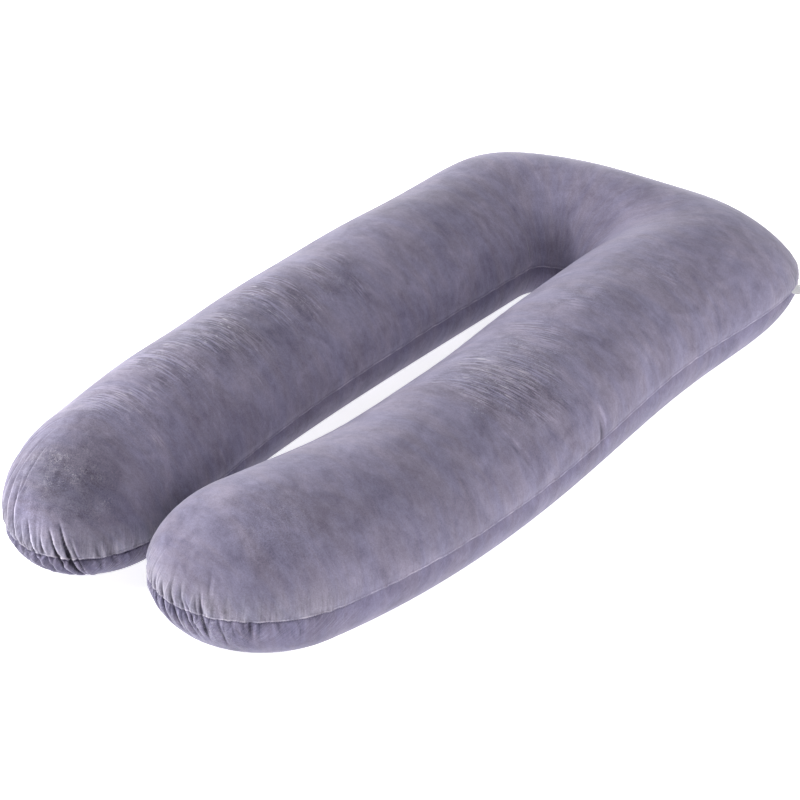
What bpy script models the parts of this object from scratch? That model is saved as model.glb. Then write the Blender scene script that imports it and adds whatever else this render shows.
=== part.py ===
"""A U-shaped body pillow about 1.4 m long, lying on its back.

The filled velvet body is sewn from a top and a bottom panel, and a short folded tab of tape is caught in its
side seam. Metres, +Z up. It rests on z = 0. Its closed head end is towards +Y and its two legs point to -Y.
The near leg is the one at +X.
"""
from collections import namedtuple

import bpy
import numpy as np

# Outline of the panels, along the seam
LENGTH = 1.40
HEAD_REACH = 0.277  # from the legs' roots to the top of the head
HEAD_SKEW = 0.033  # how much further the near corner reaches
ROOT_Y = LENGTH / 2 - HEAD_REACH
SLOT_RADIUS = 0.0455
SLOT_SHIFT = -0.013
SLOT_DROP = -0.0143

# A leg with its side of the head. root is from the middle to its root, and squareness shapes the head's
# corner, where 2 is an ellipse. bow and bow_back shape the outer edge, and half_width and roundness the tip.
# short is how far the tip stops before the full length, and turn how far its last rib turns. seam_drop and
# flat_share are the tip's own values.
Leg = namedtuple(
    "Leg", "side root squareness bow bow_back half_width roundness short turn seam_drop flat_share"
)
FAR_LEG = Leg(-1, 0.3379, 3.9, -0.0241, -0.0402, 0.1305, 1.2, 0.0189, 0.0119, 0.0244, 0.62)
NEAR_LEG = Leg(1, 0.3287, 4.15, 0.2537, -0.2532, 0.1497, 1.08, 0.0115, 0.0245, -0.0046, 0.57)

# Stuffed section
SEAM_HEIGHT = 0.0774
HEAD_SEAM_DROP = 0.0119
SEAM_LIFT = 0.009  # where the near leg's seam is drawn up
SEAM_LIFT_AT = 0.7  # of the body's length
SEAM_LIFT_REACH = 0.07
CREST_HEIGHT = 0.198
HEAD_CREST_DROP = 0.004
TOP_ROUNDNESS = 1.88  # 2 is an ellipse
BOTTOM_ROUNDNESS = 1.87
FLAT_SHARE = 0.62  # of the half width, where the body rests
TIP_SHARE = 0.3  # of the body's length, over which a tip's own values take over
HEAD_SHARES = (0.3, 0.7)  # of the body's length, between which the head's seam drops
LUMP_HEIGHT = 0.003
LUMP_PITCHES = ((0.31, 0.43), (-0.53, 0.29))  # x and y pitch of each wave of the stuffing

# Seam groove and sewn gathers
GROOVE_DEPTH = 0.005
GROOVE_REACH = 0.006
RIDGE_SHARE = 0.4  # of a gather's depth, standing proud on both sides
RIDGE_PLACE = 1.8  # of a gather's width, out from its line

# A row for each gather or fold. The mark is where along the seam counts as zero, and at is the distance from
# it, onwards round the loop: far leg's outer side, head, near leg's outer side, slot. From low to high is how
# far it runs down and up the section from the seam, and lean slants it.
Gather = namedtuple("Gather", "mark at width depth low high lean")
GATHERS = (
    Gather("far tip", 0.095, 0.012, 0.0050, -0.04, 0.12, 0.10),
    Gather("far tip", 0.058, 0.010, 0.0045, -0.03, 0.09, 0.10),
    Gather("far tip", 0.030, 0.009, 0.0050, -0.05, 0.09, 0.15),
    Gather("far tip", -0.008, 0.010, 0.0060, -0.07, 0.07, 0.20),
    Gather("far tip", -0.046, 0.010, 0.0060, -0.07, 0.07, 0.25),
    Gather("far tip", -0.065, 0.009, 0.0060, -0.08, 0.08, 0.25),
    Gather("far tip", -0.082, 0.009, 0.0050, -0.06, 0.06, 0.20),
    Gather("far tip", -0.125, 0.012, 0.0045, -0.05, 0.06, 0.10),
    Gather("near tip", 0.110, 0.012, 0.0045, -0.05, 0.06, -0.10),
    Gather("near tip", 0.058, 0.009, 0.0045, -0.05, 0.05, -0.10),
    Gather("near tip", 0.034, 0.009, 0.0050, -0.05, 0.05, -0.10),
    Gather("near tip", 0.006, 0.009, 0.0050, -0.06, 0.06, 0.10),
    Gather("near tip", -0.014, 0.009, 0.0065, -0.07, 0.09, 0.15),
    Gather("near tip", -0.037, 0.009, 0.0065, -0.06, 0.12, 0.05),
    Gather("near tip", -0.061, 0.009, 0.0060, -0.08, 0.02, 0.10),
    Gather("near tip", -0.105, 0.010, 0.0035, -0.03, 0.05, 0.0),
    Gather("near tip", -0.655, 0.028, 0.0040, 0.04, 0.18, 0.30),
    Gather("near tip", -0.800, 0.030, 0.0040, -0.07, 0.14, -0.15),
)

# Folded tab of tape in the seam, past the head's top towards the near side
TAB_AT = 0.195
TAB_WIDTH = 0.028
TAB_LENGTH = 0.022
TAB_DROOP = 0.005
TAPE_THICKNESS = 0.0006
TAPE_GAP = 0.0004
TAB_SEAT = 0.0006
TAB_STEPS = 5
FOLD_STEPS = 6

# Fineness of the body's faces
LEG_RIBS = 36
LEG_CROWDING = 0.5
HEAD_RIBS = 30
TIP_RIBS = 52
TIP_CROWDING = 0.45
OUTLINE_STEPS = 1200
# Shares of the quarter turn from the seam to the crest, and from the seam to the flat
TOP_ROWS = (0.022, 0.06, 0.12, 0.22, 0.35, 0.50, 0.66, 0.83)
BOTTOM_ROWS = (0.05, 0.13, 0.27, 0.47, 0.72, 1.0)


def power(value, exponent):
    return np.sign(value) * np.abs(value) ** exponent


def columns(*values):
    return np.stack(values, axis=-1)


def distances(points):
    steps = np.linalg.norm(np.diff(points, axis=0), axis=1)
    return np.concatenate([[0.0], np.cumsum(steps)])


def tip_start(leg):
    return -LENGTH / 2 + leg.short + leg.half_width * leg.roundness


def leg_heading(leg):
    """Direction of a leg's two edges where its rounded tip starts."""
    heading = np.array([leg.side * (2 * leg.bow + 3 * leg.bow_back), tip_start(leg) - ROOT_Y - SLOT_DROP / 2])
    return heading / np.linalg.norm(heading)


def leg_edges(leg, u):
    """Outer and inner seam of a leg, from its root at u = 0 to where its rounded tip starts at u = 1."""
    root_half = (leg.root - SLOT_RADIUS) / 2
    half = root_half + (leg.half_width - root_half) * u * u * (3 - 2 * u)
    outer_x = leg.root + leg.bow * u**2 + leg.bow_back * u**3
    tip_y = tip_start(leg)
    slot_y = ROOT_Y + SLOT_DROP
    outer_y = ROOT_Y + (tip_y - ROOT_Y) * u - leg.turn * u * u
    inner_y = slot_y + (tip_y - slot_y) * u + leg.turn * u * u
    inner_x = leg.side * (outer_x - 2 * half) + SLOT_SHIFT * (1 - u) ** 2
    return columns(leg.side * outer_x, outer_y), columns(inner_x, inner_y)


def head_edges():
    """Outer and inner seam of the closed end, from the far leg's root to the near leg's."""
    t = np.linspace(np.pi, 0, OUTLINE_STEPS)
    exponent = np.where(np.cos(t) < 0, 2 / FAR_LEG.squareness, 2 / NEAR_LEG.squareness)
    width = np.where(np.cos(t) < 0, FAR_LEG.root, NEAR_LEG.root)
    across = power(np.cos(t), exponent)
    up = np.abs(np.sin(t))
    y = ROOT_Y + HEAD_REACH * up**exponent + HEAD_SKEW * across * up
    outline = columns(width * across, y)
    reach = distances(outline)
    even = np.linspace(0, reach[-1], HEAD_RIBS + 1)
    outer = columns(np.interp(even, reach, outline[:, 0]), np.interp(even, reach, outline[:, 1]))
    turn = np.linspace(np.pi, 0, HEAD_RIBS + 1)
    inner_x = SLOT_SHIFT + SLOT_RADIUS * np.cos(turn)
    inner_y = ROOT_Y + SLOT_DROP + SLOT_RADIUS * np.sin(turn)
    return outer, columns(inner_x, inner_y)


def tip_edge(start, end, leg):
    """Rounded seam of a leg's tip, from start to end and without them."""
    middle = (start + end) / 2
    half = (start - end) / 2
    ahead = leg_heading(leg) * np.linalg.norm(half) * leg.roundness
    q = np.linspace(1, -1, TIP_RIBS + 2)[1:-1]
    turn = np.pi / 2 * (q * (1 - TIP_CROWDING) + TIP_CROWDING * q**3)
    return middle + np.outer(np.sin(turn), half) + np.outer(np.cos(turn), ahead)


def seam_loop():
    """Stations round the seam: far leg's outer side, head, near leg's outer side and tip, slot, far tip.

    Gives each station's seam point and the rib on whose centre its section ends, and the ribs' centres.
    """
    even = np.linspace(0, 1, LEG_RIBS + 1)
    u = even + LEG_CROWDING * (even - even**2)
    far_outer, far_inner = leg_edges(FAR_LEG, u)
    near_outer, near_inner = leg_edges(NEAR_LEG, u)
    head_outer, head_inner = head_edges()
    outer = np.concatenate([far_outer[:0:-1], head_outer, near_outer[1:]])
    inner = np.concatenate([far_inner[:0:-1], head_inner, near_inner[1:]])
    near_tip = tip_edge(outer[-1], inner[-1], NEAR_LEG)
    far_tip = tip_edge(inner[0], outer[0], FAR_LEG)
    seam = np.concatenate([outer, near_tip, inner[::-1], far_tip])
    ribs = np.arange(len(outer))
    rib = np.concatenate([ribs, np.full(TIP_RIBS, ribs[-1]), ribs[::-1], np.zeros(TIP_RIBS, int)])
    return seam, rib, (outer + inner) / 2


def body_heights(centres):
    """Height of the seam and of the crest at each rib, and the share of its half width that lies flat."""
    along = distances(centres)
    share = along / along[-1]
    far_part = np.clip(1 - share / TIP_SHARE, 0, 1)
    near_part = np.clip(1 - (1 - share) / TIP_SHARE, 0, 1)
    head_part = np.sin(np.pi * np.clip((share - HEAD_SHARES[0]) / (HEAD_SHARES[1] - HEAD_SHARES[0]), 0, 1))
    lift = SEAM_LIFT * np.exp(-(((share - SEAM_LIFT_AT) / SEAM_LIFT_REACH) ** 2))
    seam = SEAM_HEIGHT + lift - HEAD_SEAM_DROP * head_part**2
    seam = seam - FAR_LEG.seam_drop * far_part**2 - NEAR_LEG.seam_drop * near_part**2
    flat = FLAT_SHARE + (FAR_LEG.flat_share - FLAT_SHARE) * far_part**2
    flat = flat + (NEAR_LEG.flat_share - FLAT_SHARE) * near_part**2
    return seam, CREST_HEIGHT - HEAD_CREST_DROP * head_part**2, flat


def lumps(points):
    """Gentle waves of the stuffing over the top."""
    waves = [np.sin(2 * np.pi * (points[..., 0] / x + points[..., 1] / y)) for x, y in LUMP_PITCHES]
    return LUMP_HEIGHT * sum(waves) / len(waves)


def smooth_sections(seam, centre, seam_z, crest_z, flat):
    """Rows of points over each station's section, from the edge of the flat to near the crest."""
    rows = []
    for share in BOTTOM_ROWS[::-1]:
        turn = share * np.pi / 2
        inwards = (1 - np.cos(turn) ** (2 / BOTTOM_ROUNDNESS)) * (1 - flat)
        plan = seam + (centre - seam) * inwards[:, None]
        rows.append(columns(plan[:, 0], plan[:, 1], seam_z * (1 - np.sin(turn) ** (2 / BOTTOM_ROUNDNESS))))
    exponent = 2 / TOP_ROUNDNESS
    for share in (0.0,) + TOP_ROWS:
        turn = share * np.pi / 2
        plan = seam + (centre - seam) * (1 - np.cos(turn) ** exponent)
        rise = np.sin(turn) ** exponent
        rows.append(columns(plan[:, 0], plan[:, 1], seam_z + (crest_z - seam_z + lumps(plan)) * rise))
    return np.array(rows)


def outward(rows):
    """Outward normal at each point of the sections."""
    along = np.roll(rows, -1, axis=1) - np.roll(rows, 1, axis=1)
    upward = np.gradient(rows, axis=0)
    normal = np.cross(upward, along)
    return normal / np.linalg.norm(normal, axis=2, keepdims=True)


def relief_depth(along, round_total, marks, reach):
    """How deep the seam's groove and the gathers press in, where reach is the distance up the section."""
    depth = GROOVE_DEPTH * np.exp(-np.abs(reach) / GROOVE_REACH)
    for gather in GATHERS:
        offset = along[None, :] - marks[gather.mark] - gather.at + round_total / 2
        offset = offset % round_total - round_total / 2 - gather.lean * reach
        trough = np.exp(-((offset / gather.width) ** 2))
        ridges = np.exp(-((np.abs(offset) / gather.width - RIDGE_PLACE) ** 2))
        fade = np.sin(np.pi * np.clip((reach - gather.low) / (gather.high - gather.low), 0, 1))
        depth = depth + gather.depth * fade * (trough - RIDGE_SHARE * ridges)
    return depth


def sewn_sections(seam, rows, near_tip_start):
    """The smooth sections with the seam's groove and the gathers pressed in, down to the edge of the flat."""
    loop = distances(np.concatenate([seam, seam[:1]]))
    along = loop[:-1]
    half_way = len(seam) // 2
    marks = {
        "head": along[np.argmax(seam[:, 1])],
        "near tip": along[near_tip_start + np.argmin(seam[near_tip_start:-TIP_RIBS, 1])],
        "far tip": along[half_way + np.argmin(seam[half_way:, 1] + (seam[half_way:, 0] > 0))],
    }
    steps = np.linalg.norm(np.diff(rows, axis=0), axis=2)
    reach = np.concatenate([np.zeros((1, len(seam))), np.cumsum(steps, axis=0)])
    reach = reach - reach[len(BOTTOM_ROWS)]
    depth = relief_depth(along, loop[-1], marks, reach)
    depth[0] = 0
    sewn = rows - depth[..., None] * outward(rows)
    sewn[..., 2] = np.maximum(sewn[..., 2], 0)
    return sewn, along - marks["head"]


def body_faces(row_count, rib):
    """Quads between the rows, and the closing faces from the first and last rows to the ribs' centres."""
    stations = len(rib)
    bottom_centres = row_count * stations
    top_centres = bottom_centres + rib.max() + 1
    last = (row_count - 1) * stations
    faces = []
    for j in range(stations):
        k = (j + 1) % stations
        for row in range(0, last, stations):
            faces.append((row + j, row + stations + j, row + stations + k, row + k))
        below = [bottom_centres + rib[k], bottom_centres + rib[j]]
        above = [top_centres + rib[j], top_centres + rib[k]]
        if rib[j] == rib[k]:
            below.pop()
            above.pop()
        faces.append((j, k, *below))
        faces.append((last + k, last + j, *above))
    return faces


def make_body():
    """Points and faces of the filled body, and its seam line with each point's distance past the head."""
    seam, rib, centres = seam_loop()
    seam_z, crest_z, flat = body_heights(centres)
    rows = smooth_sections(seam, centres[rib], seam_z[rib], crest_z[rib], flat[rib])
    sewn, past_head = sewn_sections(seam, rows, len(centres))
    flat_centres = columns(centres[:, 0], centres[:, 1], np.zeros(len(centres)))
    crests = columns(centres[:, 0], centres[:, 1], crest_z + lumps(centres))
    points = np.concatenate([sewn.reshape(-1, 3), flat_centres, crests])
    return points, body_faces(len(rows), rib), sewn[len(BOTTOM_ROWS)], past_head


def tab_section():
    """Outer and inner points of the folded tape, out along its upper layer, round the fold and back below."""
    turn = np.linspace(np.pi / 2, -np.pi / 2, FOLD_STEPS + 1)
    straight = np.linspace(0, TAB_LENGTH, FOLD_STEPS)[:-1]
    sides = []
    for half in (TAPE_GAP / 2 + TAPE_THICKNESS, TAPE_GAP / 2):
        reach = np.concatenate([straight, TAB_LENGTH + half * np.cos(turn), straight[::-1]])
        flat = np.full(len(straight), half)
        height = np.concatenate([flat, half * np.sin(turn), -flat])
        sides.append(columns(reach, height - TAB_DROOP * (reach / TAB_LENGTH) ** 2))
    return sides


def make_tab(seam, past_head):
    """Points and faces of the folded tab, standing out of the seam's groove."""
    outer_count = LEG_RIBS * 2 + HEAD_RIBS + 1
    at = TAB_AT + np.linspace(-TAB_WIDTH / 2, TAB_WIDTH / 2, TAB_STEPS)
    root = columns(*(np.interp(at, past_head[:outer_count], seam[:outer_count, axis]) for axis in range(3)))
    edge = root[-1] - root[0]
    out = columns(-edge[1], edge[0], 0.0) / np.hypot(edge[0], edge[1])
    outer, inner = tab_section()
    ring = np.concatenate([outer, inner[::-1]])
    points = root[:, None, :] + (TAB_SEAT + ring[None, :, :1]) * out
    points[..., 2] += ring[None, :, 1]
    count = len(ring)
    pairs = len(outer)
    faces = []
    for step in range(TAB_STEPS - 1):
        for j in range(count):
            k = (j + 1) % count
            start = step * count
            faces.append((start + j, start + count + j, start + count + k, start + k))
    for j in range(pairs - 1):
        cap = (j, j + 1, count - 2 - j, count - 1 - j)
        faces.append(cap)
        faces.append(tuple((TAB_STEPS - 1) * count + index for index in cap[::-1]))
    return points.reshape(-1, 3), faces


def make_material(name, colour, roughness):
    material = bpy.data.materials.new(name)
    material.use_nodes = True
    shader = material.node_tree.nodes["Principled BSDF"]
    shader.inputs["Base Color"].default_value = (*colour, 1.0)
    shader.inputs["Roughness"].default_value = roughness
    shader.inputs["Metallic"].default_value = 0.0
    material.diffuse_color = (*colour, 1.0)
    return material


def make_object(name, points, faces, material):
    mesh = bpy.data.meshes.new(name)
    mesh.from_pydata(points.tolist(), [], [tuple(int(index) for index in face) for face in faces])
    mesh.validate()
    mesh.shade_smooth()
    mesh.materials.append(material)
    piece = bpy.data.objects.new(name, mesh)
    bpy.context.collection.objects.link(piece)


def main():
    for old in list(bpy.data.objects):
        bpy.data.objects.remove(old)
    body_points, body_mesh_faces, seam, past_head = make_body()
    tab_points, tab_faces = make_tab(seam, past_head)
    both = np.concatenate([body_points, tab_points])
    middle = (both.min(axis=0) + both.max(axis=0)) / 2
    stand = np.array([middle[0], middle[1], both[:, 2].min()])
    velvet = make_material("velvet", (0.223, 0.205, 0.305), 0.85)
    tape = make_material("label_tape", (0.80, 0.80, 0.79), 0.7)
    make_object("pillow", body_points - stand, body_mesh_faces, velvet)
    make_object("side_label", tab_points - stand, tab_faces, tape)


main()
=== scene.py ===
"""The looks of a U-shaped body pillow: its stuffed velvet body with a gathered seam, and the folded tape tab.

Everything is in metres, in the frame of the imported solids. The body's outline and sections follow the
formulas of its solid at a finer pitch. A cloth simulation lets the panels pucker against the shorter seam,
and the seam's lip, its slit and the small creases are pressed in after it.
"""
import math
from collections import namedtuple

import bpy
import numpy as np
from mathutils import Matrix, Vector


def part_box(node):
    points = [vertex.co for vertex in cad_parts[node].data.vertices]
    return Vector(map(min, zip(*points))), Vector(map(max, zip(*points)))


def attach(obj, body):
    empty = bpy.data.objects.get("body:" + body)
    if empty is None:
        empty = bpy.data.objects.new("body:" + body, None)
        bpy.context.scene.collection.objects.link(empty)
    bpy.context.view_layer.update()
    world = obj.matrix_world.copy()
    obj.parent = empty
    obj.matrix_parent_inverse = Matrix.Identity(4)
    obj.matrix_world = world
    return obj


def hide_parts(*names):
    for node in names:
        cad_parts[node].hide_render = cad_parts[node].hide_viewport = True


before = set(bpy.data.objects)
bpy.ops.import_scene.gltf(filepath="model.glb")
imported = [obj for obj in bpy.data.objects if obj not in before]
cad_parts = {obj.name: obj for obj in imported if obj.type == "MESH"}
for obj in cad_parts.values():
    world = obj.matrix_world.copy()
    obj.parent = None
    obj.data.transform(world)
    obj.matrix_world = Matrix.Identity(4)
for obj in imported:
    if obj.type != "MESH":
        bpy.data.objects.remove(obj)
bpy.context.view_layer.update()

# Outline of the panels, along the seam
LENGTH = 1.40
HEAD_REACH = 0.277  # from the legs' roots to the top of the head
HEAD_SKEW = 0.033  # how much further the near corner reaches
ROOT_Y = LENGTH / 2 - HEAD_REACH
SLOT_RADIUS = 0.0455
SLOT_SHIFT = -0.013
SLOT_DROP = -0.0143

# A leg with its side of the head. root is from the middle to its root, and squareness shapes the head's
# corner, where 2 is an ellipse. bow and bow_back shape the outer edge, and half_width and roundness the tip.
# short is how far the tip stops before the full length, and turn how far its last rib turns. seam_drop and
# flat_share are the tip's own values.
Leg = namedtuple(
    "Leg", "side root squareness bow bow_back half_width roundness short turn seam_drop flat_share"
)
FAR_LEG = Leg(-1, 0.3379, 3.9, -0.0241, -0.0402, 0.1305, 1.2, 0.0189, 0.0119, 0.0244, 0.62)
NEAR_LEG = Leg(1, 0.3287, 4.15, 0.2537, -0.2532, 0.1497, 1.08, 0.0115, 0.0245, -0.0046, 0.57)

# Stuffed section
SEAM_HEIGHT = 0.0774
HEAD_SEAM_DROP = 0.0119
SEAM_LIFT = 0.009  # where the near leg's seam is drawn up
SEAM_LIFT_AT = 0.7  # of the body's length
SEAM_LIFT_REACH = 0.07
CREST_HEIGHT = 0.198
HEAD_CREST_DROP = 0.004
TOP_ROUNDNESS = 1.88  # 2 is an ellipse
BOTTOM_ROUNDNESS = 1.87
FLAT_SHARE = 0.62  # of the half width, where the body rests
TIP_SHARE = 0.3  # of the body's length, over which a tip's own values take over
HEAD_SHARES = (0.3, 0.7)  # of the body's length, between which the head's seam drops
LUMP_HEIGHT = 0.003
LUMP_PITCHES = ((0.31, 0.43), (-0.53, 0.29))  # x and y pitch of each wave of the stuffing

# Guards against dividing by nothing
TINY = 1e-12

# Fineness of the simulated body. The finished one has twice as many stations.
LEG_RIBS = 70
LEG_CROWDING = 0.5
HEAD_RIBS = 80
TIP_RIBS = 130
TIP_CROWDING = 0.45
OUTLINE_STEPS = 3000
TOP_ROW_COUNT = 22
BOTTOM_ROW_COUNT = 14
ROW_CROWDING = 1.25

# Rows of the finished body: close together beside the seam, and then wider apart up to the crest
BESIDE_SEAM = np.array((0.0008, 0.0016, 0.0026, 0.0040, 0.0060, 0.0090, 0.0130))
TOP_FINE = 28
BOTTOM_FINE = 18
FLAT_FINE = 3
ROW_GROWTH = 1.15

# Simulation of the puckers
GATHER_EXCESS = 0.20
GATHER_REACH = 0.11
LAST_FRAME = 20
CLOTH_SETTINGS = {
    "use_pressure": True,
    "uniform_pressure_force": 4.0,
    "quality": 6,
    "mass": 0.03,
    "tension_stiffness": 60,
    "compression_stiffness": 60,
    "shear_stiffness": 8,
    "bending_stiffness": 0.1,
    "tension_damping": 10,
    "compression_damping": 10,
}
MOST_MOVE = 0.006
HOLD_START = 0.06
HOLD_FADE = 0.10
SLACK_END = 0.25  # below the legs' roots, from where the slot's edge has less and less slack
SLACK_FADE = 0.2

# Seam: the panels dip towards it, the top panel's edge stands up as a lip, and a slit runs under the lip
SEAM_DIP = 0.0026
SEAM_DIP_REACH = 0.009
SLIT_DEPTH = 0.0017
STRAIGHT_SLIT = 0.25  # share of the slit's depth where the outline is straight
SLIT_PLACE = -0.0009
SLIT_REACH = 0.0010
LIP_HEIGHT = 0.0012
LIP_PLACE = 0.0014
LIP_REACH = 0.0013

# Small creases that start at the seam, deepest where the outline bends most
CREASE_SEED = 7
CREASE_PITCH = 0.0075
CREASE_SPACING = (0.55, 1.45)  # in pitches
CREASE_WIDTH = (0.0018, 0.0038)
CREASE_DEPTH = (0.0006, 0.0019)
CREASE_LENGTH = (0.012, 0.050)
CREASE_SHORTER = (0.5, 1.0)  # share of the length that is left
CREASE_LEAN = 0.25
CREASE_START = 0.0025
CREASE_SPAN = 5  # widths to each side
FULL_BEND = 7.0
BEND_SPREAD = 0.03

# Ridges beside each gather
RIDGE_SHARE = 0.4
RIDGE_PLACE = 1.8
RIDGE_LEAN = 0.5  # how much higher the earlier ridge stands than the later one

# Each gather is a wide fold with a sharp crease down its middle: their shares of its width and depth, and how
# much of them is left at the seam itself, which the stitches hold
Fold = namedtuple("Fold", "width depth left")
WIDE_FOLD = Fold(1.0, 1.0, 0.3)
SHARP_CREASE = Fold(0.40, 0.75, 0.8)
HELD_REACH = 0.010

# A row for each gather, by the tip that it is counted from. at is the distance along the seam from the tip's
# end, onwards round the loop. From low to high is how far it runs down and up, and lean slants it.
Gather = namedtuple("Gather", "at width depth low high lean")
GATHERS = {
    "far tip": (
        Gather(0.150, 0.012, 0.0020, -0.02, 0.10, 0.15),
        Gather(0.118, 0.009, 0.0022, -0.02, 0.09, 0.15),
        Gather(0.092, 0.009, 0.0036, -0.03, 0.10, 0.20),
        Gather(0.058, 0.008, 0.0036, -0.02, 0.08, 0.30),
        Gather(0.031, 0.007, 0.0044, -0.03, 0.09, 0.35),
        Gather(0.010, 0.005, 0.0018, -0.02, 0.04, 0.35),
        Gather(-0.007, 0.006, 0.0058, -0.05, 0.05, 0.40),
        Gather(-0.026, 0.006, 0.0020, -0.03, 0.035, 0.40),
        Gather(-0.046, 0.006, 0.0060, -0.06, 0.05, 0.40),
        Gather(-0.063, 0.006, 0.0060, -0.06, 0.06, 0.35),
        Gather(-0.073, 0.005, 0.0036, -0.05, 0.04, 0.30),
        Gather(-0.125, 0.010, 0.0020, -0.04, 0.04, 0.10),
        Gather(0.125, 0.006, 0.0011, 0.03, 0.18, 0.15),
        Gather(0.076, 0.005, 0.0011, 0.03, 0.17, 0.10),
        Gather(0.044, 0.005, 0.0010, 0.03, 0.15, 0.05),
    ),
    "near tip": (
        Gather(0.110, 0.010, 0.0018, -0.03, 0.04, -0.10),
        Gather(0.070, 0.006, 0.0018, -0.03, 0.026, 0.05),
        Gather(0.054, 0.006, 0.0022, -0.04, 0.028, 0.10),
        Gather(0.034, 0.006, 0.0024, -0.05, 0.030, 0.20),
        Gather(0.012, 0.005, 0.0024, -0.05, 0.025, 0.30),
        Gather(-0.009, 0.005, 0.0028, -0.05, 0.034, 0.35),
        Gather(-0.018, 0.004, 0.0028, -0.05, 0.026, 0.40),
        Gather(-0.037, 0.005, 0.0036, -0.05, 0.040, 0.15),
        Gather(-0.050, 0.009, 0.0014, 0.015, 0.070, 0.15),
        Gather(-0.061, 0.005, 0.0028, -0.055, 0.018, 0.15),
        Gather(-0.080, 0.005, 0.0018, -0.04, 0.018, 0.10),
        Gather(-0.105, 0.006, 0.0018, -0.035, 0.024, 0.0),
        Gather(-0.640, 0.011, 0.0016, 0.02, 0.14, 0.30),
        Gather(-0.664, 0.006, 0.0010, -0.01, 0.06, 0.45),
        Gather(-0.676, 0.004, 0.0008, -0.01, 0.05, 0.15),
        Gather(-0.806, 0.007, 0.0028, -0.04, 0.095, -0.10),
        Gather(-0.822, 0.005, 0.0014, -0.05, 0.05, -0.20),
        Gather(-0.845, 0.006, 0.0014, 0.03, 0.10, -0.20),
    ),
}

# Patches where the pile has been stroked, which also paint light and shade: the dark ones over the far tip's
# top paint shade and shadow there, and the light ones at its front above the seam and at its left edge paint
# highlights. The middle and radius of each, how much lighter it looks, and how strongly its streaks and
# scuffs show
Patch = namedtuple("Patch", "x y z radius lighter scuffed")
PATCHES = (
    # Painted shade and shadow over the far tip's top
    Patch(-0.14, -0.64, 0.15, 0.08, -0.40, 0.9),
    Patch(-0.08, -0.65, 0.13, 0.05, -0.15, 0.6),
    # Painted highlights at the far tip's front above the seam and at its left edge
    Patch(-0.11, -0.69, 0.08, 0.03, 0.50, 0.3),
    Patch(-0.16, -0.67, 0.10, 0.03, 0.45, 0.3),
    Patch(-0.16, -0.50, 0.20, 0.09, 0.14, 0.7),
    Patch(-0.19, -0.36, 0.19, 0.09, 0.07, 0.8),
    Patch(-0.18, -0.24, 0.19, 0.09, -0.20, 0.8),
    Patch(-0.19, -0.12, 0.19, 0.09, -0.12, 0.8),
    Patch(-0.19, 0.00, 0.19, 0.09, -0.05, 0.6),
    Patch(-0.26, 0.28, 0.19, 0.12, -0.20, 0.2),
    Patch(0.22, -0.09, 0.19, 0.10, -0.09, 1.0),
    Patch(0.20, 0.02, 0.19, 0.08, -0.03, 0.7),
    Patch(0.18, 0.17, 0.19, 0.06, 0.02, 0.6),
    Patch(0.22, 0.34, 0.19, 0.06, -0.02, 0.5),
    Patch(0.33, -0.35, 0.12, 0.10, -0.14, 0.0),
    Patch(0.21, -0.58, 0.18, 0.08, -0.02, 0.6),
    Patch(0.20, -0.69, 0.05, 0.06, -0.06, 0.9),
)

# The closed end's near corner: the seam is drawn out and up, and the stuffing above it falls flat
CORNER_AT = 0.14  # past the head's top
CORNER_SPREAD = 0.10
CORNER_OUT = 0.007
CORNER_LIFT = 0.006
CORNER_REACH = 0.035
CORNER_FLAT = 0.007
CORNER_FLAT_REACH = (0.03, 0.20)

# Wobble of the sewn edge
WOBBLE_SEED = 3
WOBBLE_PITCH = 0.010
WOBBLE_JITTER = 0.3  # in pitches
WOBBLE_HEIGHT = 0.0009
WOBBLE_REACH = 0.008

# Folded tape tab
TAB_AT = 0.195  # past the head's top
TAB_WIDTH = 0.028
TAB_LENGTH = 0.022
TAB_RISE = 0.002  # at its fold
TAPE_THICKNESS = 0.0006
TAPE_GAP = 0.0008
TAB_SEAT = -0.0015
TAB_STEPS = 22
FOLD_STEPS = 9
TAB_WAVE = 0.0009
TAB_WAVE_TURN = 2.2  # over half of the width, in radians
TAB_WAVE_START = 0.6
TAB_SPREAD = 0.0016

# Sewing thread in the slit
STITCH_PITCH = 0.0034
STITCH_LENGTH = 0.0026
THREAD_RADIUS = 0.00032
THREAD_SIDES = 6
STITCH_SINK = 0.0010
STITCH_OUT = -0.0003


def power(value, exponent):
    return np.sign(value) * np.abs(value) ** exponent


def columns(*values):
    return np.stack(values, axis=-1)


def distances(points):
    """How far along a line each of its points is."""
    steps = np.linalg.norm(np.diff(points, axis=0), axis=1)
    return np.concatenate([[0.0], np.cumsum(steps)])


def loop_distances(points):
    """How far round a closed line each of its points is, and then its whole length."""
    return distances(np.concatenate([points, points[:1]]))


def ease(value):
    """Smooth step from 0 to 1."""
    value = np.clip(value, 0, 1)
    return value * value * (3 - 2 * value)


def bell(value):
    """Smooth bump, 1 high at zero and almost gone at 2."""
    return np.exp(-(value**2))


def arch(value, low, high):
    """Smooth rise from 0 at low to 1 half-way and back to 0 at high."""
    return np.sin(np.pi * np.clip((value - low) / (high - low), 0, 1))


def tip_start(leg):
    return -LENGTH / 2 + leg.short + leg.half_width * leg.roundness


def leg_heading(leg):
    """Direction of a leg's two edges where its rounded tip starts."""
    heading = np.array([leg.side * (2 * leg.bow + 3 * leg.bow_back), tip_start(leg) - ROOT_Y - SLOT_DROP / 2])
    return heading / np.linalg.norm(heading)


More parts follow.
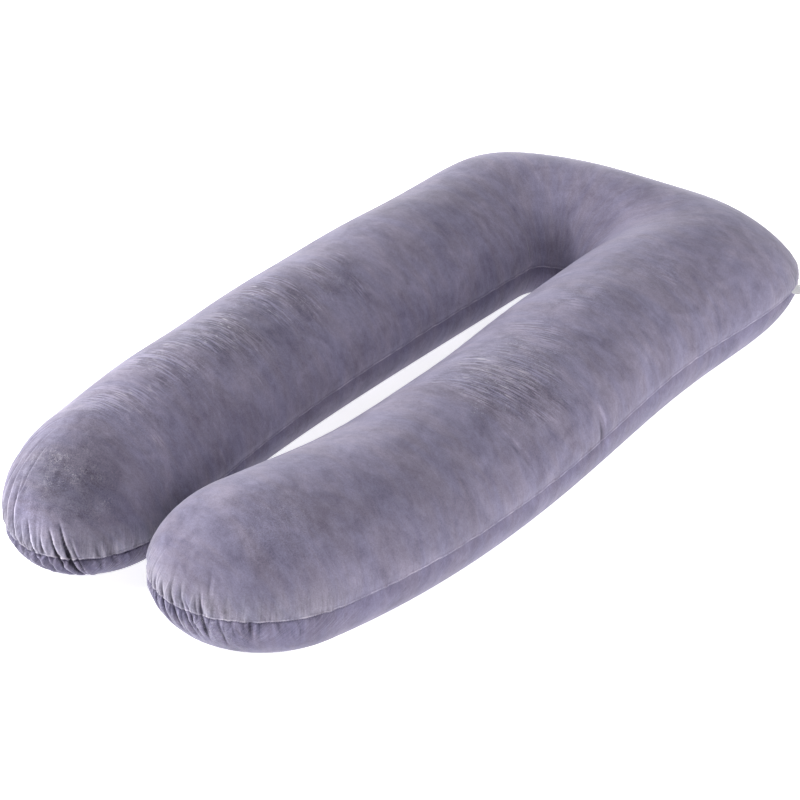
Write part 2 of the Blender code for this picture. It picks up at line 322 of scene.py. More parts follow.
def leg_edges(leg, u):
    """Outer and inner seam of a leg, from its root at u = 0 to where its rounded tip starts at u = 1."""
    root_half = (leg.root - SLOT_RADIUS) / 2
    half = root_half + (leg.half_width - root_half) * u * u * (3 - 2 * u)
    outer_x = leg.root + leg.bow * u**2 + leg.bow_back * u**3
    tip_y = tip_start(leg)
    slot_y = ROOT_Y + SLOT_DROP
    outer_y = ROOT_Y + (tip_y - ROOT_Y) * u - leg.turn * u * u
    inner_y = slot_y + (tip_y - slot_y) * u + leg.turn * u * u
    inner_x = leg.side * (outer_x - 2 * half) + SLOT_SHIFT * (1 - u) ** 2
    return columns(leg.side * outer_x, outer_y), columns(inner_x, inner_y)


def head_edges():
    """Outer and inner seam of the closed end, from the far leg's root to the near leg's."""
    t = np.linspace(np.pi, 0, OUTLINE_STEPS)
    exponent = np.where(np.cos(t) < 0, 2 / FAR_LEG.squareness, 2 / NEAR_LEG.squareness)
    width = np.where(np.cos(t) < 0, FAR_LEG.root, NEAR_LEG.root)
    across = power(np.cos(t), exponent)
    up = np.abs(np.sin(t))
    y = ROOT_Y + HEAD_REACH * up**exponent + HEAD_SKEW * across * up
    outline = columns(width * across, y)
    reach = distances(outline)
    even = np.linspace(0, reach[-1], HEAD_RIBS + 1)
    outer = columns(np.interp(even, reach, outline[:, 0]), np.interp(even, reach, outline[:, 1]))
    turn = np.linspace(np.pi, 0, HEAD_RIBS + 1)
    inner_x = SLOT_SHIFT + SLOT_RADIUS * np.cos(turn)
    inner_y = ROOT_Y + SLOT_DROP + SLOT_RADIUS * np.sin(turn)
    return outer, columns(inner_x, inner_y)


def tip_edge(start, end, leg):
    """Rounded seam of a leg's tip, from start to end and without them."""
    middle = (start + end) / 2
    half = (start - end) / 2
    ahead = leg_heading(leg) * np.linalg.norm(half) * leg.roundness
    q = np.linspace(1, -1, TIP_RIBS + 2)[1:-1]
    turn = np.pi / 2 * (q * (1 - TIP_CROWDING) + TIP_CROWDING * q**3)
    return middle + np.outer(np.sin(turn), half) + np.outer(np.cos(turn), ahead)


def seam_loop():
    """Stations round the seam: far leg's outer side, head, near leg's outer side and tip, slot, far tip.

    Gives each station's seam point and the rib on whose centre its section ends, and the ribs' centres.
    """
    even = np.linspace(0, 1, LEG_RIBS + 1)
    u = even + LEG_CROWDING * (even - even**2)
    far_outer, far_inner = leg_edges(FAR_LEG, u)
    near_outer, near_inner = leg_edges(NEAR_LEG, u)
    head_outer, head_inner = head_edges()
    outer = np.concatenate([far_outer[:0:-1], head_outer, near_outer[1:]])
    inner = np.concatenate([far_inner[:0:-1], head_inner, near_inner[1:]])
    near_tip = tip_edge(outer[-1], inner[-1], NEAR_LEG)
    far_tip = tip_edge(inner[0], outer[0], FAR_LEG)
    seam = np.concatenate([outer, near_tip, inner[::-1], far_tip])
    ribs = np.arange(len(outer))
    rib = np.concatenate([ribs, np.full(TIP_RIBS, ribs[-1]), ribs[::-1], np.zeros(TIP_RIBS, int)])
    return seam, rib, (outer + inner) / 2


def body_heights(centres):
    """Height of the seam and of the crest at each rib, and the share of its half width that lies flat."""
    along = distances(centres)
    share = along / along[-1]
    far_part = np.clip(1 - share / TIP_SHARE, 0, 1)
    near_part = np.clip(1 - (1 - share) / TIP_SHARE, 0, 1)
    head_part = arch(share, *HEAD_SHARES)
    lift = SEAM_LIFT * bell((share - SEAM_LIFT_AT) / SEAM_LIFT_REACH)
    seam = SEAM_HEIGHT + lift - HEAD_SEAM_DROP * head_part**2
    seam = seam - FAR_LEG.seam_drop * far_part**2 - NEAR_LEG.seam_drop * near_part**2
    flat = FLAT_SHARE + (FAR_LEG.flat_share - FLAT_SHARE) * far_part**2
    flat = flat + (NEAR_LEG.flat_share - FLAT_SHARE) * near_part**2
    return seam, CREST_HEIGHT - HEAD_CREST_DROP * head_part**2, flat


def lumps(points):
    """Gentle waves of the stuffing over the top."""
    waves = [np.sin(2 * np.pi * (points[..., 0] / x + points[..., 1] / y)) for x, y in LUMP_PITCHES]
    return LUMP_HEIGHT * sum(waves) / len(waves)


def row_shares():
    """Share of a quarter turn at each row: the bottom's centre at -2, the seam at 0 and the crest at 1."""
    top = (np.arange(TOP_ROW_COUNT + 1) / TOP_ROW_COUNT) ** ROW_CROWDING
    bottom = (np.arange(1, BOTTOM_ROW_COUNT + 1) / BOTTOM_ROW_COUNT) ** ROW_CROWDING
    return np.concatenate([[-2.0], -bottom[::-1], top])


def smooth_sections(seam, centre, seam_z, crest_z, flat, shares):
    """Rows of points over each station's section. Share -2 is the bottom's centre, and -1 the flat's edge."""
    rows = []
    for share in shares:
        turn = min(abs(share), 1.0) * np.pi / 2
        exponent = 2 / (BOTTOM_ROUNDNESS if share < 0 else TOP_ROUNDNESS)
        inwards = 1 - np.abs(np.cos(turn)) ** exponent
        rise = np.sin(turn) ** exponent
        if share == -2:
            plan = centre
            height = np.zeros_like(seam_z)
        elif share < 0:
            plan = seam + (centre - seam) * (inwards * (1 - flat))[:, None]
            height = seam_z * (1 - rise)
        else:
            plan = seam + (centre - seam) * inwards
            height = seam_z + (crest_z - seam_z + lumps(plan)) * rise
        rows.append(columns(plan[:, 0], plan[:, 1], height))
    return np.array(rows)


def outward(rows):
    """Outward normal at each point of the sections."""
    along = np.roll(rows, -1, axis=1) - np.roll(rows, 1, axis=1)
    upward = np.gradient(rows, axis=0)
    normal = np.cross(upward, along)
    return normal / np.maximum(np.linalg.norm(normal, axis=2, keepdims=True), TINY)


def seam_reach(rows, seam_row):
    """Distance of each point up its section from the seam, negative below it."""
    steps = np.linalg.norm(np.diff(rows, axis=0), axis=2)
    reach = np.concatenate([np.zeros((1, rows.shape[1])), np.cumsum(steps, axis=0)])
    return reach - reach[seam_row]


def loop_marks(seam, along):
    """Distances round the loop of the head's top and of the two tips' ends."""
    half_way = len(seam) // 2
    near = len(seam) // 4
    return {
        "head": along[np.argmax(seam[:, 1])],
        "near tip": along[near + np.argmin(seam[near:half_way + near // 2, 1])],
        "far tip": along[half_way + np.argmin(seam[half_way:, 1] + (seam[half_way:, 0] > 0))],
    }


def drawn_corner(rows, reach, past_head, seam_row):
    """The sections with the closed end's near corner drawn out along the seam and flattened above it."""
    beside = bell((past_head - CORNER_AT) / CORNER_SPREAD)
    normal = outward(rows)
    above = arch(reach, *CORNER_FLAT_REACH) ** 2
    pull = normal[seam_row] * CORNER_OUT
    pull[:, 2] = CORNER_LIFT
    at_seam = bell(reach / CORNER_REACH)
    return rows + beside[:, None] * (at_seam[..., None] * pull - (above * CORNER_FLAT)[..., None] * normal)


def trough_and_ridges(across, lean=0.0):
    """Depth across a crease, in shares of its own, where across counts its widths from the middle."""
    ridges = bell(np.abs(across) - RIDGE_PLACE) * (1 - lean * np.tanh(across))
    return bell(across) - RIDGE_SHARE * ridges


def gather_depth(fold, along, marks, reach):
    """How deep each gather's wide fold or sharp crease presses in at each point."""
    depth = np.zeros_like(reach)
    half_round = along[-1] / 2
    for mark, gathers in GATHERS.items():
        for gather in gathers:
            offset = along[:-1] - marks[mark] - gather.at + half_round
            offset = offset % along[-1] - half_round - gather.lean * reach
            shape = trough_and_ridges(offset / (gather.width * fold.width), RIDGE_LEAN)
            depth = depth + gather.depth * fold.depth * arch(reach, gather.low, gather.high) * shape
    return depth * (fold.left + (1 - fold.left) * ease(np.abs(reach) / HELD_REACH))


def shared_index(row_count, rib):
    """Vertex number of each point. A rib's sections share one at the bottom's centre and one at the crest."""
    inside = (row_count - 2) * len(rib)
    index = np.empty((row_count, len(rib)), int)
    index[1:-1] = np.arange(inside).reshape(row_count - 2, len(rib))
    index[0] = inside + rib
    index[-1] = inside + rib.max() + 1 + rib
    return index


def panel_faces(index):
    """Faces between the sections, and each corner's row and station. The join's is one past the last."""
    faces = []
    corners = []
    stations = index.shape[1]
    for row in range(len(index) - 1):
        for j in range(stations):
            k = (j + 1) % stations
            ring = {
                index[row, j]: (row, j),
                index[row + 1, j]: (row + 1, j),
                index[row + 1, k]: (row + 1, j + 1),
                index[row, k]: (row, j + 1),
            }
            faces.append(tuple(ring))
            corners.extend(ring.values())
    return faces, np.array(corners)


def on_vertices(index, values):
    """The values of the sections' points, one row for each vertex."""
    made = np.empty((index.max() + 1,) + values.shape[2:])
    made[index] = values
    return made


def new_object(name, data):
    made = bpy.data.objects.new(name, data)
    bpy.context.collection.objects.link(made)
    return made


def new_mesh_object(name, points, faces, edges=()):
    mesh = bpy.data.meshes.new(name)
    mesh.from_pydata(points.tolist(), edges, faces)
    return new_object(name, mesh)


def cut_panels(rows, centre, reach, seam_row, slack):
    """The panels as cut: a little too long round the seam, with each section's own lengths."""
    wide = np.linalg.norm(rows[seam_row, :, :2] - centre, axis=1)
    near_seam = ease(1 - np.abs(reach) / GATHER_REACH)
    plan = rows[..., :2] - centre
    from_centre = np.linalg.norm(plan, axis=2)
    direction = plan / np.maximum(from_centre, TINY)[..., None]
    out = from_centre + GATHER_EXCESS * slack * wide * near_seam
    steps = np.linalg.norm(np.diff(rows, axis=0), axis=2)
    drop = np.sqrt(np.maximum(steps**2 - np.diff(out, axis=0) ** 2, 0))
    height = np.concatenate([np.zeros((1, rows.shape[1])), np.cumsum(drop, axis=0)])
    plan = centre + direction * out[..., None]
    return np.concatenate([plan, height[..., None]], axis=2)


def pucker(rows, cut_rows, index, hold):
    """Where the points of the cut panels end, once Blender's cloth has settled them round the stuffing."""
    panels = new_mesh_object("panels", on_vertices(index, rows), panel_faces(index)[0])
    count = len(panels.data.vertices)
    panels.shape_key_add(name="stuffed")
    cut = panels.shape_key_add(name="cut")
    cut.data.foreach_set("co", on_vertices(index, cut_rows).astype(np.float32).ravel())
    group = panels.vertex_groups.new(name="hold")
    for number, weight in enumerate(on_vertices(index, hold)):
        group.add([number], float(weight), "REPLACE")
    cloth = panels.modifiers.new("cloth", "CLOTH")
    settings = cloth.settings
    settings.rest_shape_key = cut
    settings.vertex_group_mass = "hold"
    settings.effector_weights.gravity = 0
    for name, value in CLOTH_SETTINGS.items():
        setattr(settings, name, value)
    cloth.collision_settings.use_collision = False
    cloth.point_cache.frame_end = LAST_FRAME
    for step in range(1, LAST_FRAME + 1):
        bpy.context.scene.frame_set(step)
    settled = panels.evaluated_get(bpy.context.evaluated_depsgraph_get())
    points = np.empty(count * 3, np.float32)
    settled.data.vertices.foreach_get("co", points)
    bpy.context.scene.frame_set(1)
    bpy.data.objects.remove(panels)
    return points.reshape(-1, 3)[index].astype(float)


def settled_sections(seam, rib, centres):
    """The body's sections after the gathers have been pulled in, on the simulated pitch."""
    seam_z, crest_z, flat = body_heights(centres)
    shares = row_shares()
    seam_row = int(np.argmin(np.abs(shares)))
    centre = centres[rib]
    rows = smooth_sections(seam, centre, seam_z[rib], crest_z[rib], flat[rib], shares)
    reach = seam_reach(rows, seam_row)
    along = loop_distances(seam)
    marks = loop_marks(seam, along)
    rows = drawn_corner(rows, reach, along[:-1] - marks["head"], seam_row)
    depth = gather_depth(WIDE_FOLD, along, marks, reach)
    depth[[0, -1]] = 0
    seeded = rows - depth[..., None] * outward(rows)
    seeded[..., 2] = np.maximum(seeded[..., 2], 0)
    towards_head = ease((seam[:, 1] - ROOT_Y + SLACK_END) / SLACK_FADE)
    inner = np.arange(len(seam)) >= len(centres)
    slack = np.where(inner, 1 - towards_head, 1.0)
    hold = ease((np.abs(reach) - HOLD_START) / HOLD_FADE)
    hold[shares <= -1] = 1
    hold[-1] = 1
    index = shared_index(len(shares), rib)
    settled = pucker(seeded, cut_panels(rows, centre, reach, seam_row, slack), index, hold)
    move = settled - seeded
    length = np.linalg.norm(move, axis=2, keepdims=True)
    move *= MOST_MOVE * np.tanh(length / MOST_MOVE) / np.maximum(length, TINY)
    settled = seeded + move
    settled[..., 2] = np.maximum(settled[..., 2], 0)
    return settled, reach


def finer_stations(rows):
    """Twice as many stations, on smooth curves through the given ones."""
    before = np.roll(rows, 1, axis=1)
    after = np.roll(rows, -1, axis=1)
    next_after = np.roll(rows, -2, axis=1)
    made = np.empty((rows.shape[0], rows.shape[1] * 2) + rows.shape[2:])
    made[:, 0::2] = rows
    made[:, 1::2] = (9 * (rows + after) - before - next_after) / 16
    return made


def wanted_reaches(bottom_centre, flat_edge, crest):
    """Distances from the seam at which each station's finished section has its points."""
    beside = BESIDE_SEAM[:, None]
    flat = np.linspace(0, 1, FLAT_FINE + 1)[:-1, None]
    below = 1 - (np.arange(BOTTOM_FINE) / BOTTOM_FINE)[:, None] ** ROW_GROWTH
    above = (np.arange(1, TOP_FINE + 1) / TOP_FINE)[:, None] ** ROW_GROWTH
    last = BESIDE_SEAM[-1]
    return np.concatenate([
        bottom_centre + (flat_edge - bottom_centre) * flat,
        -last + (flat_edge + last) * below,
        -beside[::-1] * np.ones_like(crest),
        np.zeros((1, len(crest))),
        beside * np.ones_like(crest),
        last + (crest - last) * above,
    ])


def finer_rows(rows, reach, wanted):
    """Points at the wanted distances up each section, on smooth curves through its given ones."""
    made = np.empty((len(wanted), rows.shape[1], 3))
    for j in range(rows.shape[1]):
        here = reach[:, j]
        points = rows[:, j]
        slope = np.gradient(points, here, axis=0)
        slope[-1, 2] = 0
        low = np.clip(np.searchsorted(here, wanted[:, j], side="right") - 1, 0, len(here) - 2)
        span = (here[low + 1] - here[low])[:, None]
        t = (wanted[:, j] - here[low])[:, None] / span
        ends = points[low] * (1 + 2 * t) * (1 - t) ** 2 + points[low + 1] * t * t * (3 - 2 * t)
        slopes = slope[low] * t * (1 - t) ** 2 - slope[low + 1] * t * t * (1 - t)
        made[:, j] = ends + slopes * span
    return made


def outline_bend(seam, along):
    """How sharply the outline bends outwards at each station, from 0 on a straight to 1 at a leg's tip."""
    ahead = np.roll(seam, -1, axis=0) - np.roll(seam, 1, axis=0)
    heading = np.unwrap(np.arctan2(ahead[:, 1], ahead[:, 0]))
    heading = np.append(heading, heading[0] - 2 * np.pi)
    at = along[:-1]
    turn = np.interp(at - BEND_SPREAD, along, heading) - np.interp(at + BEND_SPREAD, along, heading)
    near_join = (at < BEND_SPREAD) | (at > along[-1] - BEND_SPREAD)
    turn[near_join] = 0
    return np.clip(turn / (2 * BEND_SPREAD) / FULL_BEND, 0, 1)


def small_creases(along, reach, bend):
    """Depth of many small creases that run up and down from the seam."""
    chance = np.random.default_rng(CREASE_SEED)
    depth = np.zeros_like(reach)
    at = along[:-1]
    for side in (-1, 1):
        place = 0.0
        while place < along[-1]:
            place += CREASE_PITCH * chance.uniform(*CREASE_SPACING)
            width = chance.uniform(*CREASE_WIDTH)
            length = chance.uniform(*CREASE_LENGTH) * chance.uniform(*CREASE_SHORTER)
            lean = chance.uniform(-CREASE_LEAN, CREASE_LEAN)
            most = chance.uniform(*CREASE_DEPTH) * np.interp(place, at, bend)
            close = np.abs(at - place) < CREASE_SPAN * width + CREASE_LEAN * CREASE_LENGTH[1] * 2
            rise = side * reach[:, close]
            offset = at[close] - place - lean * rise
            fade = np.where(rise > 0, bell(rise / length) * ease(rise / CREASE_START), 0)
            depth[:, close] += most * fade * trough_and_ridges(offset / width)
    return depth


def seam_relief(reach, bend):
    """Rise of the surface beside the seam: the dip towards it, the slit and the top panel's lip."""
    dip = SEAM_DIP * bell(reach / SEAM_DIP_REACH)
    depth = SLIT_DEPTH * (STRAIGHT_SLIT + (1 - STRAIGHT_SLIT) * bend)
    slit = depth * bell((reach - SLIT_PLACE) / SLIT_REACH)
    lip = LIP_HEIGHT * bell((reach - LIP_PLACE) / LIP_REACH)
    return lip - dip - slit


def edge_wobble(along, reach):
    """Small unevenness of the sewn edge in height, which fades out beside it."""
    chance = np.random.default_rng(WOBBLE_SEED)
    count = int(along[-1] / WOBBLE_PITCH)
    heights = chance.uniform(-1, 1, count)
    places = (np.arange(count) + chance.uniform(-WOBBLE_JITTER, WOBBLE_JITTER, count)) * along[-1] / count
    wave = np.interp(along[:-1], places, heights, period=along[-1])
    return WOBBLE_HEIGHT * wave * bell(reach / WOBBLE_REACH)


def stroked_pile_and_painted_light(points):
    """How much lighter each point looks, from stroked pile and from painted highlights and shade, and how
    strongly it is scuffed, from the patches.
    """
    lighter = np.zeros(points.shape[:-1])
    scuffed = np.zeros(points.shape[:-1])
    for patch in PATCHES:
        away = np.linalg.norm(points - np.array([patch.x, patch.y, patch.z]), axis=-1)
        close = bell(away / patch.radius)
        lighter = lighter + patch.lighter * close
        scuffed = np.maximum(scuffed, patch.scuffed * close)
    return lighter, scuffed


# Finishes. A noise's scale counts its repeats for each metre, or for each unit of a stretched place. A ramp
# changes smoothly from start to end while a value goes from low to high.
Noise = namedtuple("Noise", "scale detail roughness distortion", defaults=(2.0, 0.5, 0.0))
Ramp = namedtuple("Ramp", "low high start end", defaults=(0.0, 1.0))
MILLIMETRE = 0.001

# Nap, in patches of three sizes. The two smaller ones are stretched over the top, and their scales are in
# times the broad one's.
NAP_PATCH = 0.06
NAP_STRETCH = (1.0, 0.45, 0.0)
BROAD_NAP = Noise(1.0, 3.0, 0.55, 0.8)
SMALL_NAP = Noise(5.0, 3.0, 0.6, 0.4)
FINE_NAP = Noise(18.0, 3.0, 0.7, 0.3)
NAP_SHARES = (0.50, 0.30, 0.20)
NAP_CONTRAST = Ramp(0.0, 1.0, 2.0, 3.2)  # with how scuffed the pile is

# Brushed streaks, which lean on the near leg and stop before the tips, and rare scratches among them
STREAK_WIDTH = 0.0033
STREAK_LENGTH = 0.050
STREAK_LEAN = Ramp(-0.1, 0.1, 0.0, -0.32)
STREAK_NOISE = Noise(1.0, 2.0, 0.5, 0.4)
STREAK_LINES = Ramp(0.47, 0.60)
STREAK_LEVEL = 0.27  # taken off the lines, so that the pile between them is darker
STREAK_REACH = Ramp(-0.60, -0.45)
SCUFF_NOISE = Noise(22.0)
SCUFF_UNEVEN = 1.3
SCUFF_EDGE = Ramp(0.30, 1.00)
SCRATCH_STRETCH = (0.8, 1.7, 1.0)
SCRATCH_NOISE = Noise(1.0, 1.0, 0.5, 1.2)
SCRATCH_LINES = Ramp(0.63, 0.72)

# Scuffed hairs: thin broken lines where a noise passes its middle, in patches, and finer ones for specks
HAIR_SPACING = 0.007
SPECK_SPACING = 0.0035
SPECK_MIRROR = (-1.0, 1.0, 1.0)
HAIR_NOISE = Noise(1.0, 1.0, 0.5, 1.6)
HAIR_LINE = Ramp(0.0, 0.034, 1.0, 0.0)
HAIR_PATCH_NOISE = Noise(14.0, 2.0, 0.6)
HAIR_UNEVEN = 2.4
HAIR_PATCHES = Ramp(0.50, 1.10)
HAIR_BREAK_NOISE = Noise(90.0, 1.0)
HAIR_BREAKS = Ramp(0.42, 0.60)
HAIR_SHARE = 0.55
SCRATCH_SHARE = 0.7

# Bands beside the seam, by the distance up from it, or from the middle of the slit or the lip
ABOVE_SEAM = Ramp(0.0, 0.002)
# Paler, greyer band just above the seam, fading out upwards
PALE_BAND_FADE = Ramp(0.004, 0.060, 1.0, 0.0)
BELOW_SEAM = Ramp(-0.0015, 0.0, 1.0, 0.0)
# Where the slit's painted shade lies, and how much of it shows with the outline's bend
SLIT_BAND = Ramp(0.0002, 0.0016, 1.0, 0.0)
SLIT_OPENING = Ramp(0.0, 0.6, 0.1, 1.0)  # with the outline's bend
LIP_BAND = Ramp(0.0006, 0.0019, 1.0, 0.0)
# Breaks along the lip's painted highlight
LIP_HIGHLIGHT_NOISE = Noise(60.0)
LIP_HIGHLIGHT_BREAKS = Ramp(0.40, 0.62, 0.25, 1.0)

# Finest gathers: lines up and down from the seam, which slant below it
GATHER_SLANT = Ramp(-0.004, 0.0, 1.0, 0.1)
GATHER_LINES = 230.0  # for each metre along the seam
GATHER_BREAKS = 18.0  # for each metre up from it
GATHER_NOISE = Noise(1.0, 2.0, 0.55, 0.5)
GATHER_FADE = Ramp(0.004, 0.055, 1.0, 0.0)
GATHER_STRAIGHT = 0.1  # share of the height where the outline is straight

# Velvet. Tints multiply the colour under them.
HUE_STRETCH = (26.0, 7.0, 0.0)
HUE_NOISE = Noise(1.0, 4.0, 0.65, 0.4)
HUE_CHANGE = Ramp(0.36, 0.64)
PILE_NOISE = Noise(560.0, 2.0, 0.7)
PILE_CONTRAST = Ramp(0.1, 0.9, 0.75, 1.7)  # with how scuffed the pile is
PILE_ROUGHNESS = Ramp(0.2, 0.8, 0.92, 0.72)  # with its nap
VELVET_SLATE = (0.178, 0.165, 0.244, 1)
VELVET_MAUVE = (0.194, 0.174, 0.239, 1)
VELVET_SHADE = (0.52, 0.50, 0.54, 1)
VELVET_LIGHT = (1.40, 1.40, 1.38, 1)
HAIR_LIGHT = (0.46, 0.44, 0.50, 1)
# Painted shade on the lower panel, which faces down, and more of it where the outline bends at the tips
LOWER_PANEL_PAINTED_SHADE = (0.88, 0.87, 0.92, 1)
LOWER_TIP_PAINTED_SHADE = (0.74, 0.74, 0.80, 1)
# Makes the band above the seam at the bends paler and greyer
PALE_BAND_TINT = (1.20, 1.24, 1.12, 1)
# Painted shade in the slit under the lip
SLIT_PAINTED_SHADE = (0.45, 0.43, 0.47, 1)
# Painted highlight along the top panel's lip
LIP_PAINTED_HIGHLIGHT = (1.70, 1.70, 1.60, 1)

# Painted highlights on the creases' ridges and painted shade in their cores: where the cloth is pressed in or
# stands up by these many millimetres, and its tint there
CREASE_PAINTED_LIGHT_AND_SHADE = (
    (Ramp(-1.0, -0.1, 1.0, 0.0), (1.50, 1.50, 1.44, 1)),
    (Ramp(0.1, 2.2), (0.33, 0.32, 0.35, 1)),
    (Ramp(-1.9, -0.9, 1.0, 0.0), (1.30, 1.32, 1.28, 1)),
    (Ramp(2.0, 3.8), (0.50, 0.50, 0.52, 1)),
)

# Heights of the pile, the nap, the streaks and the finest gathers, in millimetres
VELVET_HEIGHTS = (0.15, 0.5, 0.35, 3.2)
VELVET_FINISH = {
    "Sheen Weight": 0.41,
    "Sheen Roughness": 0.38,
    "Sheen Tint": (0.80, 0.79, 0.90, 1),
    "Specular IOR Level": 0.19,
}

# Woven tape
WARP_PITCH = 0.0009
WEFT_PITCH = 0.0006
WARP_HEIGHT = 0.05  # in millimetres, as the next is
WEFT_HEIGHT = 0.03
SELVEDGE = Ramp(TAB_WIDTH / 2 - 0.0026, TAB_WIDTH / 2 - 0.0018)
TAPE_RIB_STRETCH = (900.0, 30.0, 1.0)
TAPE_RIB_NOISE = Noise(1.0, 1.0)
TAPE_RIB_SHARE = 0.5
SELVEDGE_SHARE = 0.4
TAPE_WHITE = (0.98, 0.98, 0.97, 1)
TAPE_DENSE = (0.90, 0.90, 0.91, 1)
TAPE_ROUGHNESS = Ramp(0.0, 1.0, 0.62, 0.75)
TAPE_SHEEN = 0.35

# Thread
TWIST_NOISE = Noise(2400.0, 1.0)
THREAD_DARK = (0.16, 0.15, 0.22, 1)
THREAD_LIGHT = (0.27, 0.25, 0.36, 1)
THREAD_ROUGHNESS = 0.6


class Value:
    """A node's output, used in formulas like a number."""

    def __init__(self, socket):
        self.socket = socket
        self.tree = socket.id_data

    def __add__(self, other):
        return figure("ADD", self, other)

    def __sub__(self, other):
        return figure("SUBTRACT", self, other)

    def __mul__(self, other):
        return figure("MULTIPLY", self, other)

    def __truediv__(self, other):
        return figure("DIVIDE", self, other)

    def __rtruediv__(self, other):
        return figure("DIVIDE", other, self)

    def __abs__(self):
        return figure("ABSOLUTE", self)


def tree_of(*values):
    """Node tree of the first of the values that is a node's."""
    return next(value.tree for value in values if isinstance(value, Value))


def feed(socket, value):
    """Links a socket to a node's output, or sets it to a plain value."""
    if isinstance(value, Value):
        value.tree.links.new(value.socket, socket)
    else:
        socket.default_value = value


def fill(node, values):
    """Feeds a node's inputs, by their names or numbers."""
    for name, value in values.items():
        feed(node.inputs[name], value)


def add(tree, kind, inputs=None, **settings):
    """Outputs of a new node, by name, once its settings are made and its inputs are fed."""
    node = tree.nodes.new(kind)
    for name, value in settings.items():
        setattr(node, name, value)
    fill(node, inputs or {})
    return {socket.name: Value(socket) for socket in node.outputs}


def figure(operation, *values, clamp=False):
    """A Math node's result."""
    inputs = dict(enumerate(values))
    return add(tree_of(*values), "ShaderNodeMath", inputs, operation=operation, use_clamp=clamp)["Value"]


def between(value, ramp):
    """Smooth change from the ramp's start to its end while the value goes from its low to its high."""
    names = ("Value", "From Min", "From Max", "To Min", "To Max")
    inputs = dict(zip(names, (value, *ramp)))
    return add(value.tree, "ShaderNodeMapRange", inputs, interpolation_type="SMOOTHSTEP")["Result"]


def grain(vector, noise, scale=None):
    """Value of a noise texture, at the noise's own scale unless another is given."""
    return add(vector.tree, "ShaderNodeTexNoise", {
        "Vector": vector,
        "Scale": noise.scale if scale is None else scale,
        "Detail": noise.detail,
        "Roughness": noise.roughness,
        "Distortion": noise.distortion,
    })["Fac"]


def stretched(vector, factors):
    return add(vector.tree, "ShaderNodeVectorMath", {0: vector, 1: factors}, operation="MULTIPLY")["Vector"]


def parts(vector):
    """The X, Y and Z of a vector."""
    return add(vector.tree, "ShaderNodeSeparateXYZ", {"Vector": vector})


def joined(x, y):
    """A vector of an X and a Y."""
    return add(x.tree, "ShaderNodeCombineXYZ", {"X": x, "Y": y})["Vector"]


def mixed(share, first, second, blend="MIX"):
    """Two colours mixed by a share. A Mix node's sockets for colours share their names with its others."""
    node = tree_of(share, first, second).nodes.new("ShaderNodeMix")
    node.data_type = "RGBA"
    node.blend_type = blend
    sockets = {socket.identifier: socket for socket in (*node.inputs, *node.outputs)}
    feed(sockets["Factor_Float"], share)
    feed(sockets["A_Color"], first)
    feed(sockets["B_Color"], second)
    return Value(sockets["Result_Color"])


def bumped(height):
    """Normal of a surface with this height, in millimetres."""
    inputs = {"Strength": 1.0, "Distance": MILLIMETRE, "Height": height}
    return add(height.tree, "ShaderNodeBump", inputs)["Normal"]


def attribute(tree, name):
    """Outputs of an attribute that the mesh has a value of for each point."""
    return add(tree, "ShaderNodeAttribute", attribute_name=name)


def new_socket(tree, way, kind, name):
    return tree.interface.new_socket(name=name, in_out=way, socket_type="NodeSocket" + kind)


def spaced_names(values):
    """The values by their sockets' names, which have spaces where names in this script have underscores."""
    return {name.replace("_", " ").capitalize(): value for name, value in values.items()}


def take_sizes(tree, **sizes):
    """Lets a tree be given sizes and other numbers, and sets the usual ones."""
    for name, usual in spaced_names(sizes).items():
        new_socket(tree, "INPUT", "Float", name).default_value = usual


def new_group(name, places, **sizes):
    """A node group, and what it is given."""
    group = bpy.data.node_groups.new(name, "ShaderNodeTree")
    for place in places:
        new_socket(group, "INPUT", "Vector", place)
    take_sizes(group, **sizes)
    return group, add(group, "NodeGroupInput")


def finished_group(group, **results):
    """The group, once it gives these results."""
    for name in spaced_names(results):
        new_socket(group, "OUTPUT", "Float", name)
    add(group, "NodeGroupOutput", spaced_names(results))
    return group


def use_group(tree, group, **values):
    """Results of a group in a material."""
    return add(tree, "ShaderNodeGroup", spaced_names(values), node_tree=group)


def nap_group():
    """Patches where the pile lies differently, from 0 for turned away to 1 for turned to the light."""
    group, given = new_group(
        "velvet nap patches", ("Place", "Lay"), patch_size=NAP_PATCH, contrast=NAP_CONTRAST.start
    )
    stroked = stretched(given["Lay"], NAP_STRETCH)
    coarse = 1.0 / given["Patch size"]
    layers = []
    for place, noise in ((given["Place"], BROAD_NAP), (stroked, SMALL_NAP), (stroked, FINE_NAP)):
        layers.append(grain(place, noise, coarse * noise.scale))
    broad, small, fine = (layer * share for layer, share in zip(layers, NAP_SHARES))
    centred = (broad + small + fine - 0.5) * given["Contrast"]
    return finished_group(group, nap=figure("ADD", centred, 0.5, clamp=True))


def brushed_group():
    """Fine light streaks over the top from side to side, and scratches, where the pile is scuffed."""
    group, given = new_group(
        "velvet brushed streaks", ("Lay", "Place"),
        scuffed=0.0, streak_width=STREAK_WIDTH, streak_length=STREAK_LENGTH,
    )
    lay = parts(given["Lay"])
    place = parts(given["Place"])
    leaning = lay["X"] + lay["Y"] * between(place["X"], STREAK_LEAN)
    streaked = joined(leaning / given["Streak width"], lay["Y"] / given["Streak length"])
    lines = between(grain(streaked, STREAK_NOISE), STREAK_LINES)
    uneven = (grain(given["Place"], SCUFF_NOISE) - 0.5) * SCUFF_UNEVEN
    mask = between(given["Scuffed"] + uneven, SCUFF_EDGE) * between(place["Y"], STREAK_REACH)
    rare = between(grain(stretched(streaked, SCRATCH_STRETCH), SCRATCH_NOISE), SCRATCH_LINES)
    return finished_group(group, streak=(lines - STREAK_LEVEL) * mask, scratch=rare * mask)


